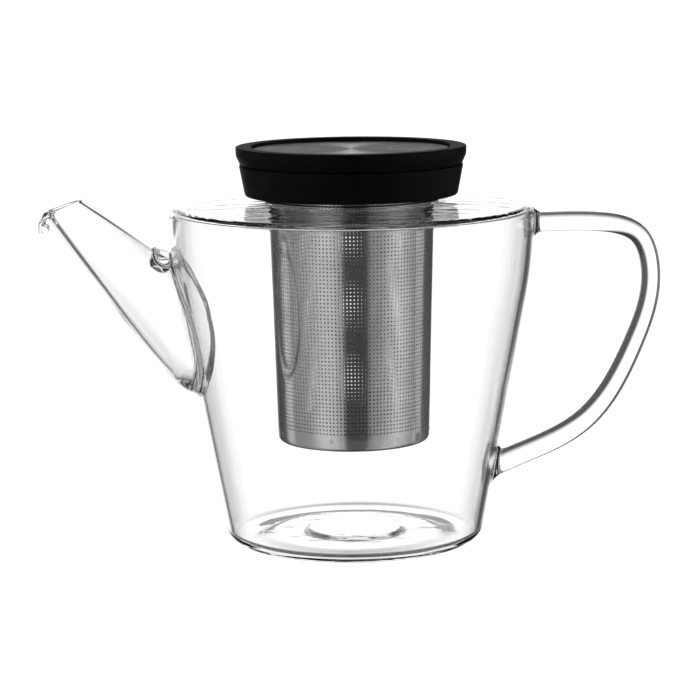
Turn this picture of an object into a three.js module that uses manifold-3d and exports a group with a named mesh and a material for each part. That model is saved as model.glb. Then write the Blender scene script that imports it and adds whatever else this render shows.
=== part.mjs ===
// A clear glass teapot with a lift-out infuser basket and a lift-off lid.
// Millimetres, +Z up. The origin is on the axis of the pot, in the plane it stands on.
// The spout points along -X and the handle along +X; everything mirrors about the XZ plane.

import * as THREE from 'three';
import { mergeVertices } from 'three/addons/utils/BufferGeometryUtils.js';
import Module from 'manifold-3d';

const wasm = await Module();
wasm.setup();

// ---------------------------------------------------------------- driving dimensions

const SIDES = 40; // facets around every turned piece
const GAP = 0.3; // clearance left between glass pieces that are fused on the real pot
const FIT = 0.1; // clearance between pieces of one assembly

// Glass body
const WALL = 2.2; // glass thickness
const FOOT_R = 46.25; // wall radius, carried down to the standing plane
const WALL_SLOPE = 0.189; // radius gained per millimetre of height
const CONE_TOP = 88.5; // the straight cone ends here and the wall curves upright
const WALL_TOP = 119.4; // the wall is upright here and the shoulder's corner starts
const FOOT_CORNER = 4.6; // outer corner radius at the foot
const SHOULDER_CORNER = 3.2; // outer corner radius at the shoulder
const SHOULDER_RISE = 2.63; // slope of the shoulder towards the hole, degrees
const HOLE_R = 30.4; // clear radius of the hole in the shoulder
const EDGE_R = 1.2; // round, fire-polished edge of that hole
const FLOOR_Z = 2.8; // top of the glass floor
const FLOOR_CORNER = 4.0; // inner corner radius at the floor
const STAND_INNER_R = 38.5; // inner edge of the flat ring the pot stands on
const STAND_STEP = 2.0; // width of the step inside that ring
const KICK_R = 16.0; // the underside is highest within this radius
const KICK_Z = 1.5;
const BUTTON_R = 17.6; // thick disc in the middle of the floor
const BUTTON_FOOT_R = 19.2;
const BUTTON_Z = 3.7;
const BUTTON_CROWN = 0.2;
const DRAIN_R = 4.0; // half width of the slot through the wall behind the spout
const DRAIN_LOW_Z = 60.0;
const DRAIN_HIGH_Z = 94.0;

// Spout, as an upper and a lower edge in the XZ plane, from inside the pot to the mouth
const SPOUT_UPPER = [
  [-59.5, 99.6],
  [-97.2, 125.5],
];
const SPOUT_LOWER = [
  [-50, 52.2],
  [-61.8, 48.8],
  [-78, 74.3],
  [-110.3, 119.3],
];
const SPOUT_LENGTH = 60; // from the wall to the mouth
const SPOUT_OVERRUN = 0.06; // share of the length by which its bore is cut past both ends
const SPOUT_SIDES = 24;
const SPOUT_RINGS = 12;
const SPOUT_MOUTH_HALF_WIDTH = 6.9;
const SPOUT_ROOT_HALF_WIDTH = 25;
const SPOUT_WALL = 1.6;
const LIP_X = -107.4; // centre of the pouring lip's curl
const LIP_Z = 115.8;
const LIP_R = 5.85; // outer radius of the curl
const LIP_SHEET = 1.5;
const LIP_FROM = 85; // where the curl starts and ends, in degrees
const LIP_TO = 196;
const LIP_BEAD_R = 1.65;
const LIP_WIDTH = 9.6;

// Handle, as points on its centreline in the XZ plane, from the upper to the lower weld
const ROD_R = 3.8;
const HANDLE_POINTS = [
  [62, 115.4],
  [90, 115.3],
  [103.3, 110.9],
  [107.9, 100],
  [101.9, 70.4],
  [84.3, 42.7],
  [50, 25.4],
];
const HANDLE_STEPS = 30;
const UPPER_FOOT_R = 6.2; // the rod flares to this radius where it meets the wall
const UPPER_FOOT_LENGTH = 5.0;
const LOWER_FOOT_R = 7.4;
const LOWER_FOOT_LENGTH = 7.0;

// Infuser
const BASKET_R = 27.5; // at the bottom
const BASKET_TOP_R = 29.7; // below the shoulder
const NECK_R = 28.9; // above the shoulder
const BASKET_Z = 37.0; // underside of the basket
const SHEET = 0.5; // steel thickness
const CURL_R = 1.6; // the wall's bottom edge curls in
const NECK_Z = 120.0; // the wall steps in here
const NECK_STEP = 1.2;
const BASE_RIM_HEIGHT = 5.0; // upright rim of the basket's floor
const SEAT_Z = 124.3; // underside of the seat ring, on the edge of the glass hole
const SEAT_R = 32.6;
const SEAT_THICKNESS = 0.9;
const LEDGE_Z = 132.4; // ledge in the collar that carries the basket's flange
const FLANGE_R = 32.4;

// Collar and lid
const COLLAR_Z = 126.2;
const COLLAR_TOP_Z = 137.3;
const COLLAR_R = 38.5; // at the bottom
const COLLAR_TOP_R = 40.45;
const COLLAR_BORE_R = 33.0;
const COLLAR_EDGE_R = 1.0; // round lower edge
const COLLAR_CHAMFER = 0.5;
const LID_Z = 137.5;
const LID_TOP_Z = 143.9;
const LID_R = 41.6;
const LID_GROOVE_R = 40.1; // the lid draws in to this radius at the seam
const LID_SHOULDER_Z = 141.1; // its side is upright above here
const LID_CHAMFER = 0.6;
const LID_OPENING_R = 35.8;
const LID_OPENING_CHAMFER = 0.5;
const DISC_RECESS = 1.2;
const DISC_THICKNESS = 0.8;
const DISC_CHAMFER = 0.2;
const CORE_FLANGE_Z = 139.8;
const PLUG_R = 32.0;
const PLUG_Z = 133.8;
const PLUG_WALL = 1.8;
const CORE_TOP = 1.4; // thickness of the plug's closed top
const SEAL_R = 0.85; // section radius of the sealing ring
const SEAL_Z = 135.3;

// ---------------------------------------------------------------- materials

function material(color, roughness, metalness, opacity = 1) {
  return new THREE.MeshStandardMaterial({
    color,
    roughness,
    metalness,
    opacity,
    transparent: opacity < 1,
  });
}

const clearGlass = () => material(0xf2f6f6, 0.02, 0.0, 0.35);
const satinSteel = () => material(0xa9abad, 0.32, 1.0);
const brushedSteel = () => material(0x8f9499, 0.28, 1.0);
const blackSilicone = () => material(0x0b0b0d, 0.62, 0.0);
const blackPlastic = () => material(0x101012, 0.45, 0.0);

// ---------------------------------------------------------------- geometry helpers

function degrees(value) {
  return (value * Math.PI) / 180;
}

// Points [r, z] on an arc, from one angle to another, in degrees.
function arc(centreR, centreZ, radius, from, to, steps) {
  const points = [];
  for (let i = 0; i <= steps; i += 1) {
    const angle = degrees(from + ((to - from) * i) / steps);
    points.push([centreR + radius * Math.cos(angle), centreZ + radius * Math.sin(angle)]);
  }
  return points;
}

function signedArea(profile) {
  let area = 0;
  profile.forEach(([r, z], i) => {
    const [nextR, nextZ] = profile[(i + 1) % profile.length];
    area += r * nextZ - nextR * z;
  });
  return area / 2;
}

// Turns a profile of [r, z] points about the Z axis. The profile closes on itself,
// or starts and ends on the axis.
function turned(profile, sides = SIDES) {
  const outline = signedArea(profile) > 0 ? profile : [...profile].reverse();
  const points = outline.map(([r, z]) => new THREE.Vector2(Math.max(r, 0), z));
  const onAxis = points[0].x === 0 && points[points.length - 1].x === 0;
  if (!onAxis) points.push(points[0].clone());
  const geometry = new THREE.LatheGeometry(points, sides);
  geometry.rotateX(Math.PI / 2);
  return geometry;
}

// A manifold solid from a closed three.js geometry.
function solid(geometry) {
  const bare = geometry.clone();
  bare.deleteAttribute('normal');
  bare.deleteAttribute('uv');
  const merged = mergeVertices(bare, 1e-4);
  return new wasm.Manifold(
    new wasm.Mesh({
      numProp: 3,
      vertProperties: new Float32Array(merged.attributes.position.array),
      triVerts: new Uint32Array(merged.index.array),
    }),
  );
}

function geometryOf(manifold) {
  const mesh = manifold.getMesh();
  const geometry = new THREE.BufferGeometry();
  geometry.setAttribute('position', new THREE.BufferAttribute(mesh.vertProperties, 3));
  geometry.setIndex(new THREE.BufferAttribute(mesh.triVerts, 1));
  geometry.computeVertexNormals();
  return geometry;
}

function piece(name, geometry, look) {
  const mesh = new THREE.Mesh(geometry, look);
  mesh.name = name;
  return mesh;
}

// ---------------------------------------------------------------- glass body

const WALL_TOP_R = wallRadius(WALL_TOP);

// Outer radius of the glass wall: a straight cone that curves upright near the shoulder.
function wallRadius(z) {
  const cone = FOOT_R + WALL_SLOPE * Math.min(z, CONE_TOP);
  const above = Math.max(z - CONE_TOP, 0);
  const span = WALL_TOP - CONE_TOP;
  return cone + WALL_SLOPE * (above - (above * above) / (2 * span));
}

// An arc that runs from a level floor at height z into the sloping wall.
function floorCorner(z, radius, inset, steps) {
  const lean = Math.atan(WALL_SLOPE);
  const wallHere = FOOT_R - inset + WALL_SLOPE * (z + radius);
  const centreR = wallHere - radius / Math.cos(lean);
  return arc(centreR, z + radius, radius, -90, -THREE.MathUtils.radToDeg(lean), steps);
}

// Points up the curved part of the wall, moved out by a distance. The last one is left out.
function curvedWall(steps, outward) {
  return Array.from({ length: steps }, (_, i) => {
    const z = THREE.MathUtils.lerp(CONE_TOP, WALL_TOP, i / steps);
    return [wallRadius(z) + outward, z];
  });
}

// The outside of the body from its foot to the edge of the hole, grown by a clearance.
function bodyOutside(grow) {
  const cornerR = WALL_TOP_R - SHOULDER_CORNER;
  return [
    ...floorCorner(-grow, FOOT_CORNER + grow, -grow, 4),
    ...curvedWall(3, grow),
    ...arc(cornerR, WALL_TOP, SHOULDER_CORNER + grow, 0, 90 - SHOULDER_RISE, 4),
  ];
}

function edgeCentre() {
  const r = HOLE_R + EDGE_R;
  const cornerR = WALL_TOP_R - SHOULDER_CORNER;
  const shoulderZ = WALL_TOP + SHOULDER_CORNER;
  const rise = (cornerR - r) * Math.tan(degrees(SHOULDER_RISE));
  return [r, shoulderZ + rise - EDGE_R];
}

function bodyProfile() {
  const [edgeR, edgeZ] = edgeCentre();
  const cornerR = WALL_TOP_R - SHOULDER_CORNER;
  const steep = 90 - SHOULDER_RISE;
  return [
    [0, KICK_Z],
    [KICK_R, KICK_Z],
    [STAND_INNER_R - STAND_STEP, KICK_Z / 2],
    [STAND_INNER_R, 0],
    ...bodyOutside(0),
    ...arc(edgeR, edgeZ, EDGE_R, steep, steep + 180, 5),
    ...arc(cornerR, WALL_TOP, SHOULDER_CORNER - WALL, steep, 0, 3),
    ...curvedWall(2, -WALL).reverse(),
    ...floorCorner(FLOOR_Z, FLOOR_CORNER, WALL, 4).reverse(),
    [BUTTON_FOOT_R, FLOOR_Z],
    [BUTTON_R, BUTTON_Z],
    [0, BUTTON_Z + BUTTON_CROWN],
  ];
}

// The slot that lets the tea through the wall into the spout, from the axis outwards.
function drainSlot() {
  const slot = new THREE.Shape();
  slot.absarc(0, DRAIN_HIGH_Z - DRAIN_R, DRAIN_R, 0, Math.PI);
  slot.absarc(0, DRAIN_LOW_Z + DRAIN_R, DRAIN_R, Math.PI, 2 * Math.PI);
  const cutter = new THREE.ExtrudeGeometry(slot, {
    depth: WALL_TOP_R,
    bevelEnabled: false,
    curveSegments: 6,
  });
  cutter.rotateX(Math.PI / 2);
  cutter.rotateZ(-Math.PI / 2);
  return solid(cutter);
}

// The space the body fills from the outside, grown by the clearance, for trimming
// whatever is fused to it.
function bodyEnvelope() {
  const outline = bodyOutside(GAP);
  const lowest = outline[0][1];
  const highest = outline[outline.length - 1][1];
  return solid(turned([[0, lowest], ...outline, [0, highest]]));
}

// ---------------------------------------------------------------- spout

function inPlane([x, z]) {
  return new THREE.Vector3(x, 0, z);
}

// A tube between the spout's two edges: oval rings, drawn in by an inset, and carried
// past both ends by an overrun given as a share of the length.
function spoutTube(inset, overrun) {
  const upper = new THREE.LineCurve3(...SPOUT_UPPER.map(inPlane));
  const lower = new THREE.CubicBezierCurve3(...SPOUT_LOWER.map(inPlane));
  const tube = new THREE.CylinderGeometry(1, 1, 1, SPOUT_SIDES, SPOUT_RINGS);
  const position = tube.attributes.position;
  for (let i = 0; i < position.count; i += 1) {
    const along = THREE.MathUtils.lerp(-overrun, 1 + overrun, position.getY(i) + 0.5);
    const t = THREE.MathUtils.clamp(along, 0, 1);
    const past = (along - t) * SPOUT_LENGTH;
    const top = upper.getPoint(t).addScaledVector(upper.getTangent(t), past);
    const bottom = lower.getPoint(t).addScaledVector(lower.getTangent(t), past);
    const centre = top.clone().add(bottom).multiplyScalar(0.5);
    const across = top.clone().sub(bottom);
    const halfHeight = across.length() / 2 - inset;
    const halfWidth =
      THREE.MathUtils.lerp(SPOUT_ROOT_HALF_WIDTH, SPOUT_MOUTH_HALF_WIDTH, t) - inset;
    across.normalize();
    position.setXYZ(
      i,
      centre.x + across.x * halfHeight * position.getX(i),
      -halfWidth * position.getZ(i),
      centre.z + across.z * halfHeight * position.getX(i),
    );
  }
  return solid(tube);
}

// The lip turns over the front of the mouth, curls down and ends in a bead.
function spoutLip() {
  const from = degrees(LIP_FROM);
  const to = degrees(LIP_TO);
  const beadReach = LIP_R - LIP_BEAD_R;
  const curl = new THREE.Shape();
  curl.absarc(LIP_X, LIP_Z, LIP_R, from, to);
  curl.absarc(LIP_X, LIP_Z, LIP_R - LIP_SHEET, to, from, true);
  const sheet = new THREE.ExtrudeGeometry(curl, {
    depth: LIP_WIDTH,
    bevelEnabled: false,
    curveSegments: 8,
  });
  sheet.translate(0, 0, -LIP_WIDTH / 2);
  sheet.rotateX(Math.PI / 2);
  const bead = new THREE.CylinderGeometry(LIP_BEAD_R, LIP_BEAD_R, LIP_WIDTH, 12);
  bead.translate(LIP_X + beadReach * Math.cos(to), 0, LIP_Z + beadReach * Math.sin(to));
  return solid(sheet).add(solid(bead));
}

function spoutSolid() {
  return spoutTube(0, 0)
    .add(spoutLip())
    .subtract(spoutTube(SPOUT_WALL, SPOUT_OVERRUN))
    .subtract(bodyEnvelope());
}

// ---------------------------------------------------------------- handle

// A weld foot: the rod flares to the wall it is fused to. It points along +Z from the
// wall at zero, and its root is carried a little way into the wall.
function weldFoot(flareR, length) {
  const rootDepth = 4;
  const flare = new THREE.QuadraticBezierCurve(
    new THREE.Vector2(flareR, 0),
    new THREE.Vector2(ROD_R, length / 5),
    new THREE.Vector2(ROD_R, length),
  );
  const outline = flare.getPoints(3).map((point) => point.toArray());
  return turned([[0, -rootDepth], [flareR, -rootDepth], ...outline, [0, length]], 16);
}

// A weld foot on the wall at a given height, leaning back from level by a tilt.
function placedFoot(flareR, length, z, tilt) {
  const foot = weldFoot(flareR, length);
  foot.rotateY(Math.PI / 2 - tilt);
  foot.translate(wallRadius(z), 0, z);
  return solid(foot);
}

function handleSolid() {
  const path = new THREE.CatmullRomCurve3(HANDLE_POINTS.map(inPlane));
  const section = new THREE.Shape();
  section.absarc(0, 0, ROD_R, 0, Math.PI * 2);
  const rod = new THREE.ExtrudeGeometry(section, {
    steps: HANDLE_STEPS,
    curveSegments: 12,
    bevelEnabled: false,
    extrudePath: path,
  });
  const arrival = path.getTangent(1);
  const upperZ = path.getPoint(0).z;
  const lowerZ = path.getPoint(1).z;
  const upperFoot = placedFoot(UPPER_FOOT_R, UPPER_FOOT_LENGTH, upperZ, 0);
  const lowerTilt = Math.atan2(-arrival.z, -arrival.x);
  const lowerFoot = placedFoot(LOWER_FOOT_R, LOWER_FOOT_LENGTH, lowerZ, lowerTilt);
  return solid(rod).add(upperFoot).add(lowerFoot).subtract(bodyEnvelope());
}

// ---------------------------------------------------------------- infuser

// The bottom edge curls in, and a flange at the top is held by the collar.
function infuserWallProfile() {
  const curlZ = BASKET_Z + CURL_R;
  const flangeZ = LEDGE_Z + FIT;
  const stepZ = NECK_Z + SHEET / 2;
  const outside = [
    ...arc(BASKET_R - CURL_R, curlZ, CURL_R, -90, 0, 3),
    [BASKET_TOP_R, NECK_Z],
    [NECK_R, NECK_Z + NECK_STEP],
    [NECK_R, flangeZ],
    [FLANGE_R, flangeZ],
  ];
  const inside = [
    [FLANGE_R, flangeZ + SHEET],
    [NECK_R - SHEET, flangeZ + SHEET],
    [NECK_R - SHEET, stepZ + NECK_STEP],
    [BASKET_TOP_R - SHEET, stepZ],
    ...arc(BASKET_R - CURL_R, curlZ, CURL_R - SHEET, 0, -90, 3),
  ];
  return [...outside, ...inside];
}

// A shallow pressed dish that lies on the curled edge: its rim is spot welded to the wall.
function infuserBaseProfile() {
  const rimR = BASKET_R - SHEET - 2 * FIT;
  const rimZ = BASKET_Z + BASE_RIM_HEIGHT;
  const floorZ = BASKET_Z + SHEET + FIT;
  const cornerR = CURL_R - 2 * FIT;
  const cornerZ = floorZ + cornerR;
  return [
    [0, floorZ],
    ...arc(rimR - cornerR, cornerZ, cornerR, -90, 0, 3),
    [rimR, rimZ],
    [rimR - SHEET, rimZ],
    ...arc(rimR - cornerR, cornerZ, cornerR - SHEET, 0, -90, 3),
    [0, floorZ + SHEET],
  ];
}

function infuserRimProfile() {
  const innerR = NECK_R + FIT;
  const edgeR = SEAT_THICKNESS / 2;
  return [
    [innerR, SEAT_Z],
    ...arc(SEAT_R - edgeR, SEAT_Z + edgeR, edgeR, -90, 90, 3),
    [innerR, SEAT_Z + SEAT_THICKNESS],
  ];
}

function infuserCollarProfile() {
  return [
    [NECK_R + FIT, COLLAR_Z],
    ...arc(COLLAR_R - COLLAR_EDGE_R, COLLAR_Z + COLLAR_EDGE_R, COLLAR_EDGE_R, -90, -10, 2),
    [COLLAR_TOP_R, COLLAR_TOP_Z - COLLAR_CHAMFER],
    [COLLAR_TOP_R - COLLAR_CHAMFER, COLLAR_TOP_Z],
    [COLLAR_BORE_R, COLLAR_TOP_Z],
    [COLLAR_BORE_R, LEDGE_Z],
    [NECK_R + FIT, LEDGE_Z],
  ];
}

// ---------------------------------------------------------------- lid

function lidRingProfile() {
  const boreR = PLUG_R + 2 * FIT;
  const openingR = LID_OPENING_R + FIT;
  return [
    [boreR, LID_Z],
    [LID_GROOVE_R, LID_Z],
    [LID_R, LID_SHOULDER_Z],
    [LID_R, LID_TOP_Z - LID_CHAMFER],
    [LID_R - LID_CHAMFER, LID_TOP_Z],
    [openingR + LID_OPENING_CHAMFER, LID_TOP_Z],
    [openingR, LID_TOP_Z - LID_OPENING_CHAMFER],
    [openingR, CORE_FLANGE_Z],
    [boreR, CORE_FLANGE_Z],
  ];
}

function lidDiscProfile() {
  const top = LID_TOP_Z - DISC_RECESS;
  return [
    [0, top - DISC_THICKNESS],
    [LID_OPENING_R, top - DISC_THICKNESS],
    [LID_OPENING_R, top - DISC_CHAMFER],
    [LID_OPENING_R - DISC_CHAMFER, top],
    [0, top],
  ];
}

// A cup with its mouth down: the flange carries the disc, the skirt plugs the collar.
function lidCoreProfile() {
  const flangeTop = LID_TOP_Z - DISC_RECESS - DISC_THICKNESS - FIT;
  const flangeBottom = CORE_FLANGE_Z + FIT;
  const skirtInner = PLUG_R - PLUG_WALL;
  const grooveR = PLUG_R - SEAL_R;
  const groove = SEAL_R + FIT;
  return [
    [0, flangeTop - CORE_TOP],
    [skirtInner, flangeTop - CORE_TOP],
    [skirtInner, PLUG_Z],
    [PLUG_R, PLUG_Z],
    [PLUG_R, SEAL_Z - groove],
    [grooveR, SEAL_Z - groove],
    [grooveR, SEAL_Z + groove],
    [PLUG_R, SEAL_Z + groove],
    [PLUG_R, flangeBottom],
    [LID_OPENING_R, flangeBottom],
    [LID_OPENING_R, flangeTop],
    [0, flangeTop],
  ];
}

function lidSealProfile() {
  return arc(PLUG_R + FIT, SEAL_Z, SEAL_R, 0, 315, 7);
}

// ---------------------------------------------------------------- assembly

function vessel() {
  const group = new THREE.Group();
  const body = solid(turned(bodyProfile())).subtract(drainSlot());
  group.add(piece('glass_body', geometryOf(body), clearGlass()));
  group.add(piece('spout', geometryOf(spoutSolid()), clearGlass()));
  group.add(piece('handle', geometryOf(handleSolid()), clearGlass()));
  return group;
}

function infuser() {
  const group = new THREE.Group();
  group.add(piece('infuser_wall', turned(infuserWallProfile()), satinSteel()));
  group.add(piece('infuser_base', turned(infuserBaseProfile()), satinSteel()));
  group.add(piece('infuser_rim', turned(infuserRimProfile()), satinSteel()));
  group.add(piece('infuser_collar', turned(infuserCollarProfile()), blackSilicone()));
  return group;
}

function lid() {
  const group = new THREE.Group();
  group.add(piece('lid_ring', turned(lidRingProfile()), blackSilicone()));
  group.add(piece('lid_disc', turned(lidDiscProfile()), brushedSteel()));
  group.add(piece('lid_core', turned(lidCoreProfile()), blackPlastic()));
  group.add(piece('lid_seal', turned(lidSealProfile()), blackSilicone()));
  return group;
}

const teapot = new THREE.Group();
teapot.add(vessel(), infuser(), lid());

export default teapot;
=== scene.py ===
"""A clear glass teapot with a perforated steel infuser and a black lid, built around its CAD frame.

Sizes are in millimetres and meshes are written in metres. The pot's axis is the Z axis,
it stands on z = 0, its spout points along -X and its handle along +X.
"""

import functools
import math

import bmesh
import bpy
import numpy as np
from mathutils import Matrix, Vector
from mathutils.geometry import delaunay_2d_cdt


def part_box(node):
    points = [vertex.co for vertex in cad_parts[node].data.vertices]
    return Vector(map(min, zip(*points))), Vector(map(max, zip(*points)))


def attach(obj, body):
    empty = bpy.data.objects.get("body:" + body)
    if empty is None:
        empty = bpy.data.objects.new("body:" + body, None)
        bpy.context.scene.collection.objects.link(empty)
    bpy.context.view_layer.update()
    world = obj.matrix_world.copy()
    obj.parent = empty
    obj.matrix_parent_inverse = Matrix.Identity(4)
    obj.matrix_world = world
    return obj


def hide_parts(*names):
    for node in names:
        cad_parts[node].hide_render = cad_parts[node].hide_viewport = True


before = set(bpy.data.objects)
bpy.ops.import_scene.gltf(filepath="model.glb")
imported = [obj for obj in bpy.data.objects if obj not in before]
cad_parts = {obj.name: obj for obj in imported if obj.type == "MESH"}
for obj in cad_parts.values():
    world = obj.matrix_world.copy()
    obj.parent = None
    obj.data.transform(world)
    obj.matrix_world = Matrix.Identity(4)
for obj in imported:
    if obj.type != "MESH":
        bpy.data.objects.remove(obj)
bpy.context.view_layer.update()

MM = 0.001


def node_box(node):
    """Lowest and highest corner of a CAD node, in millimetres."""
    low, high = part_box(node)
    return low / MM, high / MM


# ------------------------------------------------------------------ places from the frame

_, glass_high = node_box("glass_body")
collar_low, collar_high = node_box("infuser_collar")
wall_low, wall_high = node_box("infuser_wall")
base_low, base_high = node_box("infuser_base")
rim_low, rim_high = node_box("infuser_rim")
ring_low, ring_high = node_box("lid_ring")
disc_low, disc_high = node_box("lid_disc")
core_low, core_high = node_box("lid_core")
seal_low, seal_high = node_box("lid_seal")

# ------------------------------------------------------------------ sizes of the glass body

BODY_R = glass_high.x
FOOT_CORNER = 4.6
SHOULDER_CORNER = 3.2
WALL = 2.2
SHOULDER_RISE = math.radians(2.63)
HOLE_R = 30.4
SHOULDER_Z = 122.6
WALL_TOP = SHOULDER_Z - SHOULDER_CORNER
CONE_TOP = 88.5
SLOPE = 0.189
FOOT_R = BODY_R - SLOPE * (CONE_TOP + (WALL_TOP - CONE_TOP) / 2)
CORNER_R = BODY_R - SHOULDER_CORNER
FLOOR_Z = 2.8
STAND_INNER_R = 38.5
KICK_RISE = 1.6  # the underside rises by this much inside the ring the pot stands on
KICK_RUN = 10.0
BUTTON_R = 17.6
BUTTON_RISE = 0.9
BUTTON_EDGE = 3.2  # width of the slope around the button
BUTTON_CROWN = 0.3
POLISH_R = 1.0

# ------------------------------------------------------------------ small numpy tools


def smoothstep(value):
    value = np.clip(value, 0.0, 1.0)
    return value * value * (3.0 - 2.0 * value)


def round_max(a, b, radius):
    """Where both fields are negative, with the edge between them rounded to a radius."""
    a, b = a + radius, b + radius
    corner = np.hypot(np.maximum(a, 0), np.maximum(b, 0))
    return np.minimum(np.maximum(a, b), 0) + corner - radius


def round_min(a, b, radius):
    """Where either field is negative, with a fillet of a radius in the corner between them."""
    return -round_max(-a, -b, radius)


# ------------------------------------------------------------------ the fused glass vessel


def wall_radius(z):
    """Outer radius of the glass wall: a straight cone that curves upright near the shoulder."""
    span = WALL_TOP - CONE_TOP
    above = np.clip(z - CONE_TOP, 0, span)
    return FOOT_R + SLOPE * (np.minimum(z, CONE_TOP) + above - above**2 / (2 * span))


def wall_lean(z):
    """Cosine of the wall's lean from upright, which turns level gaps into true distances."""
    span = WALL_TOP - CONE_TOP
    slope = SLOPE * (1 - np.clip(z - CONE_TOP, 0, span) / span)
    return 1 / np.sqrt(1 + slope**2)


def shoulder_height(r):
    return SHOULDER_Z + math.tan(SHOULDER_RISE) * (CORNER_R - r)


def underside(r):
    """Height of the glass above the table: flat where it stands, kicked up inside."""
    return KICK_RISE * smoothstep((STAND_INNER_R + 0.5 - r) / KICK_RUN)


def floor_height(r):
    """Top of the glass floor, with a thick button in the middle."""
    button = BUTTON_RISE * smoothstep((BUTTON_R + BUTTON_EDGE / 2 - r) / BUTTON_EDGE)
    crown = BUTTON_CROWN * np.clip(1 - (r / BUTTON_R) ** 2, 0, 1)
    return FLOOR_Z + button + crown


def body_outside(r, z):
    wall = (r - wall_radius(z)) * wall_lean(z)
    top = (z - shoulder_height(r)) * math.cos(SHOULDER_RISE)
    standing = round_max(wall, underside(r) - z, FOOT_CORNER)
    return round_max(standing, top, SHOULDER_CORNER)


def body_cavity(r, z):
    wall = (r - wall_radius(z)) * wall_lean(z) + WALL
    top = (z - shoulder_height(r)) * math.cos(SHOULDER_RISE) + WALL + 0.1
    standing = round_max(wall, floor_height(r) - z, FOOT_CORNER - WALL)
    return round_max(standing, top, SHOULDER_CORNER - WALL)


def bezier(points, t):
    """Points and tangents of a cubic curve at parameters t. It runs straight on past its ends."""
    inside = np.clip(t, 0, 1)
    s = inside[..., None]
    p0, p1, p2, p3 = (np.asarray(p, float) for p in points)
    tangent = 3 * ((1 - s) ** 2 * (p1 - p0) + 2 * (1 - s) * s * (p2 - p1) + s**2 * (p3 - p2))
    place = (1 - s) ** 3 * p0 + 3 * (1 - s) ** 2 * s * p1 + 3 * (1 - s) * s**2 * p2 + s**3 * p3
    return place + (t - inside)[..., None] * tangent, tangent


def nearest_on_curve(points, x, z, reach=0.0):
    """Nearest place, tangent and parameter on a cubic curve, run straight on by a reach."""
    samples = np.linspace(0, 1, 9)
    places, _ = bezier(points, samples)
    gaps = np.stack([(x - place[0]) ** 2 + (z - place[1]) ** 2 for place in places])
    t = samples[gaps.argmin(axis=0)]
    here = np.stack([x, z], axis=-1)
    for _ in range(4):
        place, tangent = bezier(points, t)
        step = ((here - place) * tangent).sum(-1) / (tangent**2).sum(-1)
        t = np.clip(t + step, -reach, 1 + reach)
    place, tangent = bezier(points, t)
    return place, tangent, t


# The spout's edges in the XZ plane, from inside the pot to the mouth
SPOUT_BACK = ((-59.5, 99.6), (-97.2, 125.5))
SPOUT_FRONT = ((-50.0, 52.2), (-61.8, 48.8), (-78.0, 74.3), (-110.3, 119.6))
SPOUT_MOUTH_END = (-108.9, 121.4)
SPOUT_MOUTH_HALF = 7.1
SPOUT_MOUTH_WIDTH = 6.9
SPOUT_ROOT_WIDTH = 27.5
SPOUT_ROOT_HALF = 17.5
SPOUT_GLASS = 1.6
CROTCH = (-68.9, 102.4)  # the fused lump where the spout's back edge meets the wall
CROTCH_HALF = (4.3, 8.5, 4.2)  # half sizes of that lump
# The lower half of the joint with the wall is an oval
JOINT_MIDDLE_Z = 76.0
JOINT_DROP = 22.5
JOINT_WIDTH = 26.5
JOINT_GLASS = 4.0  # thickness of the glass gathered at the bottom of the joint


def oval(u, y, a, b):
    """Distance from an ellipse of half sizes a and b."""
    k = np.sqrt((u / a) ** 2 + (y / b) ** 2) + 1e-9
    slope = np.sqrt((u / a**2) ** 2 + (y / b**2) ** 2) / k + 1e-9
    return (k - 1) / slope


def joint_field(y, z, inset, raised):
    """Negative within the round lower outline of the joint, seen along the X axis."""
    above = smoothstep((z - JOINT_MIDDLE_Z) / 20)
    width = JOINT_WIDTH + 6.0 * above - inset
    return oval(np.minimum(z - JOINT_MIDDLE_Z, 0), y, JOINT_DROP - raised, width)


def spout_fields(x, y, z):
    """Distance fields of the spout's outside and of its bore."""
    (ax, az), (bx, bz) = SPOUT_BACK
    length = math.hypot(bx - ax, bz - az)
    back = ((x - ax) * (az - bz) + (z - az) * (bx - ax)) / -length
    place, tangent, _ = nearest_on_curve(SPOUT_FRONT, x, z, reach=3.0)
    away_x, away_z = x - place[..., 0], z - place[..., 1]
    front = (tangent[..., 0] * away_z - tangent[..., 1] * away_x) / np.linalg.norm(tangent, axis=-1)
    height = np.maximum(-(back + front) / 2, 3.0)
    u = (back - front) / 2
    opened = smoothstep((height - SPOUT_MOUTH_HALF) / (SPOUT_ROOT_HALF - SPOUT_MOUTH_HALF))
    width = SPOUT_MOUTH_WIDTH + (SPOUT_ROOT_WIDTH - SPOUT_MOUTH_WIDTH) * opened

    outside = round_max(oval(u, y, height, width), joint_field(y, z, 0, 0), 3.0)
    bore = oval(u, y, height - SPOUT_GLASS, width - SPOUT_GLASS)
    return outside, round_max(bore, joint_field(y, z, SPOUT_GLASS, JOINT_GLASS), 3.0)


def spout_mouth_plane(x, z):
    """Distance above the slanting cut of the mouth."""
    (ax, az), (bx, bz) = SPOUT_BACK[1], SPOUT_MOUTH_END
    return ((z - az) * (ax - bx) - (x - ax) * (az - bz)) / math.hypot(ax - bx, az - bz)


LIP_CENTRE = (-107.4, 115.8)
LIP_R = 5.1
LIP_SHEET = 1.5
LIP_WIDTH = 5.6
LIP_FROM, LIP_TO = math.radians(95), math.radians(196)
BEAD_R = 1.65


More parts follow.
